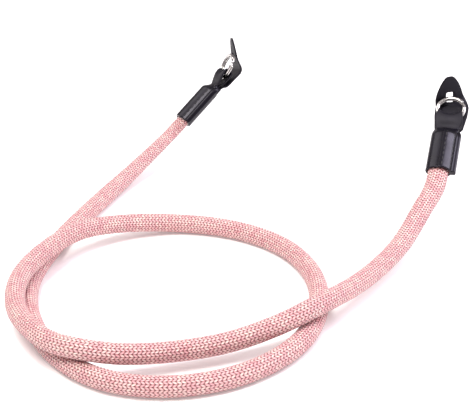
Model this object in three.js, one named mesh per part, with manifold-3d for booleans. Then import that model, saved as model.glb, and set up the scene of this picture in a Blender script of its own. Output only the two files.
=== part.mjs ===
// Rope neck strap. A braided rope lies on a table in its loops. Each end is sewn into a
// leather sleeve, whose tab holds a split ring with a leather shield behind it.
// Millimetres, +Z up. The origin is the top of the right ring, where it hangs on its lug.

import * as THREE from 'three';
import { mergeVertices } from 'three/addons/utils/BufferGeometryUtils.js';
import Module from 'manifold-3d';

const wasm = await Module();
wasm.setup();

const RAD = Math.PI / 180;
const FAR = 1;                    // how far a cutting solid runs past the face that it cuts

// Driving dimensions

const GAP = 0.3;                  // clearance between pieces that fit each other
const ROPE_DIAMETER = 9;
const ROPE_END_WIDTH = 10.2;      // the rope is pressed flatter where the sleeves hold it
const ROPE_END_HEIGHT = 6.8;
const FLAT_RUN = 70;              // length of rope over which it turns round again
const ROPE_SIDES = 12;
const ROPE_STEPS = 80;

const HANG_SPAN = 137.5;          // between the two hanging points
const HANG_HEIGHT = 49;           // hanging points above the table

const LEATHER = 1.1;              // thickness of the tab and the shield
const SKIN = 1;                   // thickness of the sleeve's wall
const PANEL = 0.6;                // the lapped layer sewn on the front of the sleeve
const SLEEVE_LENGTH = 26.5;
const SHOULDER = 5;               // length over which the sleeve flattens to its top
const SHOULDER_NARROWING = 0.1;   // share of its width that it loses there
const ROPE_IN_SLEEVE = 20;
const TAIL_IN_SLEEVE = 3;         // how deep the tab and the shield are sewn into the sleeve
const FLANGE = 2.2;               // sewn edge that stands out past the round of the sleeve
const FLANGE_BACK = 1.4;
const FLANGE_FRONT = 1.6;

const RING_RADIUS = 6.7;          // to the middle of the wire
const WIRE_WIDTH = 1.6;           // across the wire, along the ring's radius
const WIRE_HEIGHT = 1.05;         // across the wire, along the ring's axis
const TURN_GAP = 0.12;            // between the two turns of the wire
const JOG_ANGLE = 32;             // degrees over which the wire steps from turn to turn
const JOG_PLACE = 38;             // degrees, where that step is on the ring

const NECK_TO_WIRE = 7;           // from the sleeve's top up to the wire in the tab's fold
const FOLD_BORE = 1.8;            // inner radius of the tab's fold
const TAIL_WIDTH = 11;            // of the tab and the shield inside the sleeve
const TAIL_FLARE = 1.2;           // length over which they widen above it
const NECK = 0.4;                 // length over which they stay side by side above it
const TAB_WIDTH = 13.8;
const TAB_FOLD_WIDTH = 10.2;
const TAB_WIDE_TO = 0.34;         // shares of the tab's length: where it begins to narrow
const TAB_FOLD_FROM = 0.45;       // and where it is as narrow as in the fold
const LIFT_FROM = 0.35;           // share of the neck where its sides start to ride up
const LIFT_REACH = 0.8;           // share of the ring's radius over which they follow the wire

const SHIELD_WIDTH = 17;
const SHIELD_RISE = 11;           // from the lug up to the tip
const SHIELD_BEND_RADIUS = 4.5;
const SHIELD_TIP_WIDTH = 4.5;
const SHIELD_WIDE_AT = 0.42;      // shares of its length: where it gets its full width
const SHIELD_TAPER_AT = 0.52;     // and where that begins to fall to the tip
const TIP_CURVE = { inner: 1.8, outer: 0.7 };   // powers of the tip's curve, 2 and 0.5 for an ellipse
const LUG_SLOT_WIDTH = 4;         // slot in the shield for the lug that the ring hangs on
const LUG_SLOT_LENGTH = 5.5;

// Numbers of facets

const WIRE_SIDES = 8;
const RING_STEPS = 60;
const TAB_FACETS = { across: 6, along: 40 };
const SHIELD_FACETS = { across: 4, along: 36 };
const BORE_SIDES = 24;
const WRAP_STEPS = 20;
const LAP_STEPS = 9;
const SHOULDER_STEPS = 6;
const TIP_STEPS = 10;
const SAME_POINT = 1e-4;          // points closer than this become one

// Sizes that follow

const ROPE_RADIUS = ROPE_DIAMETER / 2;
const BORE = { x: ROPE_END_WIDTH / 2 + GAP, y: ROPE_END_HEIGHT / 2 + GAP };
const WRAP = { x: BORE.x + SKIN, y: BORE.y + SKIN };
const LAPPED = { x: WRAP.x + PANEL, y: WRAP.y + PANEL };
const FLANGE_END = WRAP.x + FLANGE;
const ROPE_OFFSET = -FLANGE / 2;  // rope axis beside the tab's middle line
const LAYER = LEATHER / 2 + GAP / 2;
const TONGUE_BACK = LAYER + LEATHER + GAP;
const SHIELD_BACK = FOLD_BORE + LEATHER + GAP + LEATHER / 2;
const SLOT_FRONT = -(LAYER + LEATHER / 2 + GAP);
const SLOT_BACK = TONGUE_BACK + LEATHER / 2 + GAP;

// How each end hangs, in degrees: turn is round the vertical, slope is downward, twist is
// round the strap's own line, drop is how much more steeply the ring hangs, and slide is how
// far round the ring its lug is. Facing and lean, also in degrees, and aside and behind, in
// millimetres from the lug, set the shield's upper part.

const ENDS = [
  {
    side: 'left', at: [-HANG_SPAN, 0, 0],
    turn: -24.5, slope: 35.6, twist: -20.7, drop: 21.6, slide: -49,
    facing: -8, lean: 4, aside: 1, behind: 4.3,
  },
  {
    side: 'right', at: [0, 0, 0],
    turn: 16, slope: 30, twist: 0, drop: 0, slide: 0,
    facing: 30, lean: 0, aside: -2, behind: 2.2,
  },
];

// The rope's route between the two sleeves, chosen by hand: X and Y of its middle, and its
// height above the table

const ROUTE = [
  [-151.5, -67.5, 9],
  [-151.5, -86, 5.5],
  [-149, -105.5, 4.5],
  [-145.5, -125, 4.5],
  [-136.5, -163.5, 4.5],
  [-123.5, -195.5, 4.5],
  [-101.5, -221, 5],
  [-73, -238, 4.5],
  [-46.5, -243, 4.5],
  [-25, -237.5, 4.5],
  [-7, -224.5, 4.5],
  [5.5, -206, 4.5],
  [11, -180.5, 4.5],
  [4, -151, 4.5],
  [-14.5, -124.5, 4.5],
  [-40, -108.5, 4.5],
  [-70, -105, 4.5],
  [-97.5, -113, 5],
  [-117, -131.5, 8.5],
  [-126, -155.5, 13],
  [-126.5, -180.5, 13.5],
  [-121, -204.5, 13],
  [-106.5, -224.5, 12],
  [-85, -238, 13.5],
  [-73.5, -241.5, 13.5],
  [-62.5, -241.5, 14],
  [-53, -238, 13],
  [-44, -232, 11],
  [-27.5, -216, 8.5],
  [-11, -199.5, 9],
  [3.5, -181, 12.5],
  [8.5, -171, 14],
  [11, -160, 13.5],
  [13.5, -131.5, 9.5],
  [14, -97.5, 8.5],
  [13.5, -80, 11],
  [12.5, -61.5, 16.5],
];

function material(name, color, roughness, metalness) {
  return new THREE.MeshStandardMaterial({ name, color, roughness, metalness });
}

const ROPE_YARN = material('rope_yarn', 0xe3a29b, 0.85, 0);
const BLACK_LEATHER = material('black_leather', 0x1b1a20, 0.45, 0);
const POLISHED_STEEL = material('polished_steel', 0xd9dadd, 0.18, 1);

function closed(geometry) {
  geometry.deleteAttribute('normal');
  geometry.deleteAttribute('uv');
  return mergeVertices(geometry, SAME_POINT);
}

function solid(geometry) {
  const merged = closed(geometry);
  const vertProperties = new Float32Array(merged.attributes.position.array);
  const triVerts = new Uint32Array(merged.index.array);
  return new wasm.Manifold(new wasm.Mesh({ numProp: 3, vertProperties, triVerts }));
}

function fromSolid(body) {
  const mesh = body.getMesh();
  const geometry = new THREE.BufferGeometry();
  geometry.setAttribute('position', new THREE.BufferAttribute(mesh.vertProperties, 3));
  geometry.setIndex(new THREE.BufferAttribute(mesh.triVerts, 1));
  return geometry;
}

function moveVertices(geometry, place) {
  const position = geometry.attributes.position;
  const point = new THREE.Vector3();
  for (let i = 0; i < position.count; i += 1) {
    point.fromBufferAttribute(position, i);
    place(point);
    position.setXYZ(i, point.x, point.y, point.z);
  }
  return geometry;
}

function piece(name, geometry, finish) {
  geometry.computeVertexNormals();
  const mesh = new THREE.Mesh(geometry, finish);
  mesh.name = name;
  return mesh;
}

// Value of a short table at a place, joined by straight lines

function along(rows, at, key) {
  if (at <= rows[0].at) return rows[0][key];
  for (let i = 1; i < rows.length; i += 1) {
    const before = rows[i - 1];
    const after = rows[i];
    if (at <= after.at) {
      return THREE.MathUtils.lerp(before[key], after[key], (at - before.at) / (after.at - before.at));
    }
  }
  return rows[rows.length - 1][key];
}

// A leather strip bent along a path in the YZ plane. It starts as a flat box, whose height
// becomes the way along the path, and its width follows the table.

function bentStrip(path, widths, lift, facets) {
  const length = path.getLength();
  const box = new THREE.BoxGeometry(1, LEATHER, 1, facets.across, 1, facets.along);
  const centre = new THREE.Vector3();
  const tangent = new THREE.Vector3();
  return closed(moveVertices(box, (p) => {
    const share = p.z + 0.5;
    path.getPointAt(share, centre);
    path.getTangentAt(share, tangent);
    const width = along(widths(length), share * length, 'width');
    const out = p.y;
    p.x *= width;
    p.y = centre.y + out * tangent.z;
    p.z = centre.z - out * tangent.y;
    p.add(lift(p.x, centre.z));
  }));
}

// The split ring's wire: two turns that lie on each other, with one step between them.
// Its ends stop on both sides of that step.

class SplitRingLine extends THREE.Curve {
  getPoint(share, target = new THREE.Vector3()) {
    const travel = (720 - JOG_ANGLE) * share;
    const firstTurn = 360 - JOG_ANGLE;
    const step = THREE.MathUtils.smoothstep(travel, firstTurn, 360);
    const angle = (JOG_PLACE + travel) * RAD;
    const level = (step - 0.5) * (WIRE_HEIGHT + TURN_GAP);
    return target.set(RING_RADIUS * Math.cos(angle), level, RING_RADIUS * Math.sin(angle));
  }
}

function ellipseShape(halfX, halfY, sides) {
  const points = [];
  for (let i = 0; i < sides; i += 1) {
    const angle = (2 * Math.PI * (i + 0.5)) / sides;
    points.push(new THREE.Vector2(halfX * Math.cos(angle), halfY * Math.sin(angle)));
  }
  return new THREE.Shape(points);
}

function splitRing() {
  const section = ellipseShape(WIRE_HEIGHT / 2, WIRE_WIDTH / 2, WIRE_SIDES);
  const wire = new THREE.ExtrudeGeometry(section, {
    steps: RING_STEPS, bevelEnabled: false, extrudePath: new SplitRingLine(),
  });
  wire.translate(0, 0, RING_RADIUS);
  return closed(wire);
}

// Tab: up the front, round the wire, down the back. The fold rides up at its sides,
// because the wire in it is round, and it leans with the ring.

function tab({ drop }) {
  const wireAt = NECK_TO_WIRE;
  const foldRadius = FOLD_BORE + LEATHER / 2;
  const line = new THREE.CurvePath();
  const start = new THREE.Vector3(0, -LAYER, -TAIL_IN_SLEEVE);
  const front = new THREE.Vector3(0, -LAYER, NECK);
  const frontTop = new THREE.Vector3(0, -foldRadius, wireAt);
  const backTop = new THREE.Vector3(0, foldRadius, wireAt);
  const back = new THREE.Vector3(0, LAYER, NECK);
  const end = new THREE.Vector3(0, LAYER, -TAIL_IN_SLEEVE);
  const bulge = wireAt / 2;
  line.add(new THREE.LineCurve3(start, front));
  line.add(new THREE.CubicBezierCurve3(
    front, new THREE.Vector3(0, -LAYER, bulge), new THREE.Vector3(0, -foldRadius, bulge), frontTop));
  line.add(new FoldArc(foldRadius, wireAt));
  line.add(new THREE.CubicBezierCurve3(
    backTop, new THREE.Vector3(0, foldRadius, bulge), new THREE.Vector3(0, LAYER, bulge), back));
  line.add(new THREE.LineCurve3(back, end));
  const widths = (length) => [
    { at: TAIL_IN_SLEEVE, width: TAIL_WIDTH },
    { at: TAIL_IN_SLEEVE + TAIL_FLARE, width: TAB_WIDTH },
    { at: length * TAB_WIDE_TO, width: TAB_WIDTH },
    { at: length * TAB_FOLD_FROM, width: TAB_FOLD_WIDTH },
    { at: length * (1 - TAB_FOLD_FROM), width: TAB_FOLD_WIDTH },
    { at: length * (1 - TAB_WIDE_TO), width: TAB_WIDTH },
    { at: length - TAIL_IN_SLEEVE - TAIL_FLARE, width: TAB_WIDTH },
    { at: length - TAIL_IN_SLEEVE, width: TAIL_WIDTH },
  ];
  const liftFrom = wireAt * LIFT_FROM;
  const lift = (x, z) => {
    const reach = Math.min(Math.abs(x), TAB_WIDTH / 2, RING_RADIUS * LIFT_REACH);
    const rise = RING_RADIUS - Math.sqrt(RING_RADIUS ** 2 - reach ** 2);
    const raised = rise * THREE.MathUtils.smoothstep(z, liftFrom, wireAt);
    return new THREE.Vector3(0, -raised * Math.sin(drop * RAD), raised * Math.cos(drop * RAD));
  };
  return bentStrip(line, widths, lift, TAB_FACETS);
}

class FoldArc extends THREE.Curve {
  constructor(radius, height) {
    super();
    this.radius = radius;
    this.height = height;
  }

  getPoint(share, target = new THREE.Vector3()) {
    const angle = Math.PI * (1 - share);
    const y = this.radius * Math.cos(angle);
    return target.set(0, y, this.height + this.radius * Math.sin(angle));
  }
}

// Shield: sewn in behind the tab, up behind the ring, then bent to stand upright, with a
// slot for the lug. Its upper part is turned to the side that the lug points to.

function shield(pose) {
  const { slope, facing, lean, aside, behind } = pose;
  const bend = (90 - slope) * RAD;
  const radius = SHIELD_BEND_RADIUS;
  const upright = new THREE.Vector3(0, -Math.sin(bend), Math.cos(bend));
  const outward = new THREE.Vector3(0, Math.cos(bend), Math.sin(bend));
  const lug = ringTop(pose).addScaledVector(outward, behind);
  lug.z += NECK_TO_WIRE;
  const belowLug = (SHIELD_BACK - lug.y) / Math.sin(bend);
  const cornerAt = lug.z - belowLug * Math.cos(bend);
  const bendAt = cornerAt - radius * Math.tan(bend / 2);
  const bendEnd = new THREE.Vector3(
    0, SHIELD_BACK - radius * (1 - Math.cos(bend)), bendAt + radius * Math.sin(bend));
  const tip = new THREE.Vector3(0, lug.y, lug.z).addScaledVector(upright, SHIELD_RISE);
  const slopeAt = NECK_TO_WIRE / 3;
  const line = new THREE.CurvePath();
  const start = new THREE.Vector3(0, TONGUE_BACK, -TAIL_IN_SLEEVE);
  const neck = new THREE.Vector3(0, TONGUE_BACK, NECK);
  const behindTab = new THREE.Vector3(0, SHIELD_BACK, NECK_TO_WIRE - FOLD_BORE);
  const bendStart = new THREE.Vector3(0, SHIELD_BACK, bendAt);
  line.add(new THREE.LineCurve3(start, neck));
  line.add(new THREE.CubicBezierCurve3(
    neck, new THREE.Vector3(0, TONGUE_BACK, slopeAt), new THREE.Vector3(0, SHIELD_BACK, slopeAt), behindTab));
  line.add(new THREE.LineCurve3(behindTab, bendStart));
  line.add(new BendArc(radius, bend, SHIELD_BACK, bendAt));
  line.add(new THREE.LineCurve3(bendEnd, tip));
  const strip = bentStrip(line, shieldWidths, () => new THREE.Vector3(), SHIELD_FACETS);
  const turned = new THREE.Quaternion().setFromAxisAngle(upright, facing * RAD);
  turned.multiply(new THREE.Quaternion().setFromAxisAngle(outward, lean * RAD));
  const partly = new THREE.Quaternion();
  const centre = new THREE.Vector3(0, lug.y, lug.z);
  moveVertices(strip, (p) => {
    const above = p.clone().sub(centre).dot(upright);
    const share = THREE.MathUtils.smoothstep(above, -belowLug - radius, radius / 3);
    partly.identity().slerp(turned, p.z < bendAt ? 0 : share);
    p.sub(centre).applyQuaternion(partly).add(centre);
    p.x += (lug.x + aside) * share;
  });
  const slot = new THREE.BoxGeometry(LUG_SLOT_WIDTH, LUG_SLOT_LENGTH, 4 * radius);
  slot.rotateX(bend - Math.PI / 2);
  slot.applyQuaternion(turned);
  slot.translate(lug.x + aside, lug.y, lug.z);
  return fromSolid(solid(strip).subtract(solid(slot)));
}

// Width of the shield along its length: sewn tail, full width, and a rounded tip

function shieldWidths(length) {
  const rows = [
    { at: TAIL_IN_SLEEVE, width: TAIL_WIDTH },
    { at: TAIL_IN_SLEEVE + TAIL_FLARE, width: TAB_WIDTH },
    { at: length * SHIELD_WIDE_AT, width: SHIELD_WIDTH },
    { at: length * SHIELD_TAPER_AT, width: SHIELD_WIDTH },
  ];
  for (let i = 1; i <= TIP_STEPS; i += 1) {
    const share = i / TIP_STEPS;
    const fall = 1 - (1 - share ** TIP_CURVE.inner) ** TIP_CURVE.outer;
    rows.push({
      at: length * THREE.MathUtils.lerp(SHIELD_TAPER_AT, 1, share),
      width: THREE.MathUtils.lerp(SHIELD_WIDTH, SHIELD_TIP_WIDTH, fall),
    });
  }
  return rows;
}

class BendArc extends THREE.Curve {
  constructor(radius, bend, y, z) {
    super();
    Object.assign(this, { radius, bend, y, z });
  }

  getPoint(share, target = new THREE.Vector3()) {
    const angle = this.bend * share;
    return target.set(
      0, this.y - this.radius * (1 - Math.cos(angle)), this.z + this.radius * Math.sin(angle));
  }
}

// Sleeve: one skin wrapped round the rope, lapped in front and sewn flat along one side.
// It flattens at its top round the tab, and is open at its mouth.

function sleeveSection() {
  const points = [];
  const arc = (size, from, to, count) => {
    for (let i = 0; i <= count; i += 1) {
      const angle = THREE.MathUtils.lerp(from, to, i / count);
      points.push(new THREE.Vector2(size.x * Math.cos(angle), size.y * Math.sin(angle)));
    }
  };
  points.push(new THREE.Vector2(FLANGE_END, FLANGE_BACK));
  arc(WRAP, Math.asin(FLANGE_BACK / WRAP.y), 1.5 * Math.PI, WRAP_STEPS);
  arc(LAPPED, 1.5 * Math.PI, 2 * Math.PI - Math.asin(FLANGE_FRONT / LAPPED.y), LAP_STEPS);
  points.push(new THREE.Vector2(FLANGE_END, -FLANGE_FRONT));
  return new THREE.Shape(points);
}

function sleeve() {
  const steps = SHOULDER_STEPS + 1;
  const body = new THREE.ExtrudeGeometry(sleeveSection(), { depth: steps, steps, bevelEnabled: false });
  const slotMiddle = (SLOT_FRONT + SLOT_BACK) / 2;
  const topHalf = (SLOT_BACK - SLOT_FRONT) / 2 + LEATHER;
  const topScale = (2 * topHalf) / (WRAP.y + LAPPED.y);
  moveVertices(body, (p) => {
    const rise = Math.max(p.z - 1, 0) / SHOULDER_STEPS;
    const flatten = THREE.MathUtils.smoothstep(rise, 0, 1);
    const middle = (WRAP.y - LAPPED.y) / 2;
    const scale = THREE.MathUtils.lerp(1, topScale, flatten);
    const narrow = 1 - SHOULDER_NARROWING * rise ** 3;
    p.x = (p.x + ROPE_OFFSET) * narrow;
    p.y = (p.y - middle) * scale + THREE.MathUtils.lerp(middle, slotMiddle, flatten);
    p.z = p.z < 0.5 ? -SLEEVE_LENGTH : SHOULDER * (rise - 1);
  });
  const boreDepth = ROPE_IN_SLEEVE + GAP;
  const bore = new THREE.CylinderGeometry(1, 1, boreDepth + FAR, BORE_SIDES);
  bore.rotateX(Math.PI / 2);
  bore.scale(BORE.x, BORE.y, 1);
  bore.translate(ROPE_OFFSET, 0, -SLEEVE_LENGTH + (boreDepth - FAR) / 2);
  const slotDepth = TAIL_IN_SLEEVE + GAP;
  const slot = new THREE.BoxGeometry(
    TAIL_WIDTH + 2 * GAP, SLOT_BACK - SLOT_FRONT, slotDepth + FAR);
  slot.translate(0, slotMiddle, (FAR - slotDepth) / 2);
  return fromSolid(solid(body).subtract(solid(bore)).subtract(solid(slot)));
}

// Where the lug holds the ring, seen from the wire in the tab's fold

function ringTop({ drop, slide }) {
  const top = new THREE.Vector3(Math.sin(slide * RAD), 0, 1 + Math.cos(slide * RAD));
  return top.multiplyScalar(RING_RADIUS).applyAxisAngle(new THREE.Vector3(1, 0, 0), drop * RAD);
}

// One end, hung from its point. Its own frame starts at the wire in the tab's fold, with
// +Z running up the strap, +X across the tab and -Y to the front.

function strapEnd(pose) {
  const { side, at, turn, slope, twist, drop } = pose;
  const end = new THREE.Group();
  end.rotation.set(-(90 - slope) * RAD, 0, turn * RAD, 'ZXY');
  end.rotateZ(twist * RAD);
  const ring = piece(`${side}_ring`, splitRing(), POLISHED_STEEL);
  ring.rotation.x = drop * RAD;
  end.position.set(...at).sub(ringTop(pose).applyQuaternion(end.quaternion));
  end.add(ring);
  const leather = new THREE.Group();
  leather.position.z = -NECK_TO_WIRE;
  leather.add(piece(`${side}_tab`, tab(pose), BLACK_LEATHER));
  leather.add(piece(`${side}_sleeve`, sleeve(), BLACK_LEATHER));
  leather.add(piece(`${side}_shield`, shield(pose), BLACK_LEATHER));
  end.add(leather);
  end.updateMatrixWorld(true);
  return { end, frame: leather.matrixWorld };
}

// Points on a sleeve's middle line, from the rope's end inside it to just past its mouth

function sleeveLine(frame) {
  return [ROPE_IN_SLEEVE, ROPE_IN_SLEEVE / 2, 0, -ROPE_DIAMETER].map((inside) => {
    const point = new THREE.Vector3(ROPE_OFFSET, 0, inside - SLEEVE_LENGTH);
    return point.applyMatrix4(frame);
  });
}

function rope(frames) {
  const points = [
    ...sleeveLine(frames[0]),
    ...ROUTE.map(([x, y, height]) => new THREE.Vector3(x, y, height - HANG_HEIGHT)),
    ...sleeveLine(frames[1]).reverse(),
  ];
  const path = new THREE.CatmullRomCurve3(points);
  const section = ellipseShape(ROPE_RADIUS, ROPE_RADIUS, ROPE_SIDES);
  const tube = closed(new THREE.ExtrudeGeometry(section, {
    steps: ROPE_STEPS, bevelEnabled: false, extrudePath: path,
  }));
  return flattenEnds(tube, path, frames);
}

// Presses the rope flatter near its ends: wider across the tab, thinner front to back

function flattenEnds(tube, path, frames) {
  const middles = path.getSpacedPoints(ROPE_STEPS);
  const step = path.getLength() / ROPE_STEPS;
  const axes = frames.map((frame) => {
    const across = new THREE.Vector3();
    const deep = new THREE.Vector3();
    frame.extractBasis(across, deep, new THREE.Vector3());
    return { across, deep };
  });
  const held = ROPE_IN_SLEEVE + ROPE_DIAMETER;
  return moveVertices(tube, (p) => {
    let nearest = 0;
    middles.forEach((middle, i) => {
      if (middle.distanceTo(p) < middles[nearest].distanceTo(p)) nearest = i;
    });
    const fromEnd = Math.min(nearest, ROPE_STEPS - nearest) * step;
    const press = 1 - THREE.MathUtils.smoothstep(fromEnd, held, held + FLAT_RUN);
    const { across, deep } = axes[nearest < ROPE_STEPS / 2 ? 0 : 1];
    const out = p.clone().sub(middles[nearest]);
    p.addScaledVector(across, out.dot(across) * press * (ROPE_END_WIDTH / ROPE_DIAMETER - 1));
    p.addScaledVector(deep, out.dot(deep) * press * (ROPE_END_HEIGHT / ROPE_DIAMETER - 1));
  });
}

const strap = new THREE.Group();
strap.name = 'rope_neck_strap';
const ends = ENDS.map(strapEnd);
ends.forEach(({ end }) => strap.add(end));
strap.add(piece('rope', rope(ends.map(({ frame }) => frame)), ROPE_YARN));

export default strap;
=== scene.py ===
# %% [markdown]
# # A rope neck strap
#
# The strap is a round braided rope, 9 mm thick and about a metre long with its ends. Each
# end is sewn into a black leather sleeve. A leather tab leaves the sleeve, folds round a
# polished split ring and goes back in, and a leather shield sits behind the ring.
# The rope lies on a table in a turn and a half, and both rings hang from points above it.
#
# This script dresses the plain model of the strap. It works in metres, in the frame that
# the model uses: the origin is the top of the right ring, X runs from the left hanging
# point to the right one, and Z is up.

# %% Load the plain model
import math

import bpy
import numpy as np
from mathutils import Matrix, Vector


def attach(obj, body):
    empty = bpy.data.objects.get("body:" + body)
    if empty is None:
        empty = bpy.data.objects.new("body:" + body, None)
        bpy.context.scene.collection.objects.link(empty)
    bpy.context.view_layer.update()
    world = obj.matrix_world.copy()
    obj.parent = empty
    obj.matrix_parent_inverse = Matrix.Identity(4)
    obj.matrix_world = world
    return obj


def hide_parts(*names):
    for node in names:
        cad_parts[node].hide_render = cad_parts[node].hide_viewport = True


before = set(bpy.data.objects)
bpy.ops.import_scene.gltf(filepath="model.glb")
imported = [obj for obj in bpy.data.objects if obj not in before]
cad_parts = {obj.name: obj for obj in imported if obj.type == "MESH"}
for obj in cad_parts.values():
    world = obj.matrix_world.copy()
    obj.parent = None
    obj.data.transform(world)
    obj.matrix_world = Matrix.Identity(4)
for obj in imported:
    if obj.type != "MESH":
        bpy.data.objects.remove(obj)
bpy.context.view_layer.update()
MM = 0.001
RAD = math.pi / 180

# %% [markdown]
# ## The camera
#
# A strap is photographed from a little above and from the side, with a long lens that
# keeps both ends about the same size. The camera is placed by its position and by the
# point of the table that it looks at. It is rolled a little, as a hand-held one is.

# %% Camera
VIEWPOINT = Vector((0.2442, -0.5837, 0.2486))
LOOKS_AT = Vector((-0.0908, -0.0695, -0.049))
ROLL = 2.41 * RAD
FOCAL_LENGTH = 99.6


def add_camera():
    data = bpy.data.cameras.new("photo_camera")
    data.lens = FOCAL_LENGTH
    data.sensor_width = 36
    camera = bpy.data.objects.new("photo_camera", data)
    bpy.context.collection.objects.link(camera)
    aim = (LOOKS_AT - VIEWPOINT).to_track_quat("-Z", "Y").to_matrix().to_4x4()
    camera.matrix_world = Matrix.Translation(VIEWPOINT) @ aim @ Matrix.Rotation(-ROLL, 4, "Z")
    bpy.context.scene.camera = camera


add_camera()
print("camera", round((LOOKS_AT - VIEWPOINT).length, 3), "m from what it looks at")

# %% [markdown]
# ## How the ends hang
#
# Each end hangs by its ring. Its own axes are: first, across the tab; second, from front to
# back; third, up the strap. Three turns set them: the slope of the strap, its heading round
# the vertical, and its twist round its own line. The ring hangs more steeply than the strap
# by the drop, and its hanging point can be off its top by the slide.
# The last four numbers place the upper part of the shield: which way it faces, how far it
# leans, and how many millimetres it sits aside of the hanging point and behind it. Angles
# are in degrees. These are the sizes of the plain model, so each new piece lands on its solid.

# %% Sizes of the ends, in metres
ROPE_WIDTH = 9 * MM
PRESSED_WIDTH = 10.2 * MM
PRESSED_HEIGHT = 6.8 * MM
FLAT_RUN = 70 * MM
GAP = 0.3 * MM
LEATHER = 1.1 * MM
SKIN = 1.0 * MM
PANEL = 0.6 * MM
SLEEVE_LENGTH = 26.5 * MM
SHOULDER = 5 * MM
ROPE_IN_SLEEVE = 20 * MM
TAIL_IN_SLEEVE = 3 * MM
FLANGE = 2.2 * MM
RING_RADIUS = 6.7 * MM
WIRE_WIDTH = 1.6 * MM
WIRE_HEIGHT = 1.05 * MM
TURN_GAP = 0.12 * MM
NECK_TO_WIRE = 7 * MM
FOLD_BORE = 1.8 * MM
ROPE_OFFSET = -FLANGE / 2
LAYER = LEATHER / 2 + GAP / 2
TONGUE_BACK = LAYER + LEATHER + GAP
SHIELD_BACK = FOLD_BORE + LEATHER + GAP + LEATHER / 2

ENDS = [
    dict(side="left", at=(-137.5, 0, 0), turn=-24.5, slope=35.6, twist=-20.7, drop=21.6,
         slide=-49, facing=-8, lean=4, aside=1, behind=4.3),
    dict(side="right", at=(0, 0, 0), turn=16, slope=30, twist=0, drop=0,
         slide=0, facing=30, lean=0, aside=-2, behind=2.2),
]


def turned(axis, degrees):
    """A turn about one axis, as a three by three array."""
    return np.array(Matrix.Rotation(degrees * RAD, 3, axis))


def ring_top(end):
    """The hanging point on the ring: up twice the radius, slid round, then dropped forward."""
    slid = end["slide"] * RAD
    top = RING_RADIUS * np.array((math.sin(slid), 0, 1 + math.cos(slid)))
    return turned("X", end["drop"]) @ top


for end in ENDS:
    end["axes"] = turned("Z", end["turn"]) @ turned("X", end["slope"] - 90) @ turned("Z", end["twist"])
    end["wire"] = np.array(end["at"]) * MM - end["axes"] @ ring_top(end)
    end["neck"] = end["wire"] - end["axes"][:, 2] * NECK_TO_WIRE
    print(end["side"], "end: wire in the tab's fold at", np.round(end["wire"] / MM, 1), "mm")


def place(end, points, start="neck"):
    """Points in an end's own axes to points of the scene, by one turn and one shift."""
    return points @ end["axes"].T + end[start]


# %% [markdown]
# ## Surfaces from grids
#
# Every new piece is a grid of points, worked out as one array: rows run along the piece
# and columns run round it. The mesh joins each point to its neighbours, closes the last
# column to the first, and closes each end with a fan round a middle point.

# %% Grid to mesh
def grid_faces(rows, columns, first=0):
    """Four-sided faces between each row and the next, the last column joined to the first."""
    r, c = np.meshgrid(np.arange(rows - 1), np.arange(columns), indexing="ij")
    after = (c + 1) % columns
    here, below = r * columns, (r + 1) * columns
    quads = np.stack((here + c, here + after, below + after, below + c), -1)
    return quads.reshape(-1, 4) + first


def fan_faces(ring, middle, outward):
    """Triangles from each pair of neighbours on a ring to one middle point."""
    after = np.roll(ring, -1)
    order = (after, ring) if outward else (ring, after)
    return np.stack((*order, np.full(len(ring), middle)), -1)


def build_mesh(name, points, faces, smooth=True):
    """An object at the origin, with its place in its mesh, from points and arrays of faces."""
    mesh = bpy.data.meshes.new(name)
    mesh.from_pydata(points.tolist(), [], [face for part in faces for face in part.tolist()])
    mesh.polygons.foreach_set("use_smooth", np.full(len(mesh.polygons), smooth))
    mesh.update()
    piece = bpy.data.objects.new(name, mesh)
    bpy.context.collection.objects.link(piece)
    return piece


def tube_mesh(name, grid):
    """A closed tube: the grid's rows joined up, and a fan over each end."""
    rows, columns = grid.shape[:2]
    points = np.vstack((grid.reshape(-1, 3), grid[0].mean(0), grid[-1].mean(0)))
    count = rows * columns
    ring = np.arange(columns)
    faces = [
        grid_faces(rows, columns),
        fan_faces(ring, count, True),
        fan_faces(ring + count - columns, count + 1, False),
    ]
    return build_mesh(name, points, faces)


def report(piece):
    """Prints how many triangles a piece has."""
    piece.data.calc_loop_triangles()
    print(piece.name, len(piece.data.loop_triangles), "triangles")


# %% [markdown]
# ## The rope's route
#
# A thick braided rope is too stiff to fold, so it lies in wide, even bends and bridges
# over itself where it crosses. The route is the same list as the plain
# model's: the middle of the rope, from the left sleeve to the right one, in millimetres.

# %% Route of the rope
ROUTE = """
-151.5 -67.5 -40     -151.5 -86 -43.5     -149 -105.5 -44.5    -145.5 -125 -44.5
-136.5 -163.5 -44.5  -123.5 -195.5 -44.5  -101.5 -221 -44      -73 -238 -44.5
-46.5 -243 -44.5     -25 -237.5 -44.5     -7 -224.5 -44.5      5.5 -206 -44.5
11 -180.5 -44.5      4 -151 -44.5         -14.5 -124.5 -44.5   -40 -108.5 -44.5
-70 -105 -44.5       -97.5 -113 -44       -117 -131.5 -40.5    -126 -155.5 -36
-126.5 -180.5 -35.5  -121 -204.5 -36      -106.5 -224.5 -37    -85 -238 -35.5
-73.5 -241.5 -35.5   -62.5 -241.5 -35     -53 -238 -36         -44 -232 -38
-27.5 -216 -40.5     -11 -199.5 -40       3.5 -181 -36.5       8.5 -171 -35
11 -160 -35.5        13.5 -131.5 -39.5    14 -97.5 -40.5       13.5 -80 -38
12.5 -61.5 -32.5
"""


def sleeve_line(end):
    """Along the sleeve: two points inside it, one at its mouth and one a width past it."""
    inside = np.array((ROPE_IN_SLEEVE, ROPE_IN_SLEEVE / 2, 0, -ROPE_WIDTH))
    own = np.stack((np.full(4, ROPE_OFFSET), np.zeros(4), inside - SLEEVE_LENGTH), -1)
    return place(end, own)


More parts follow.
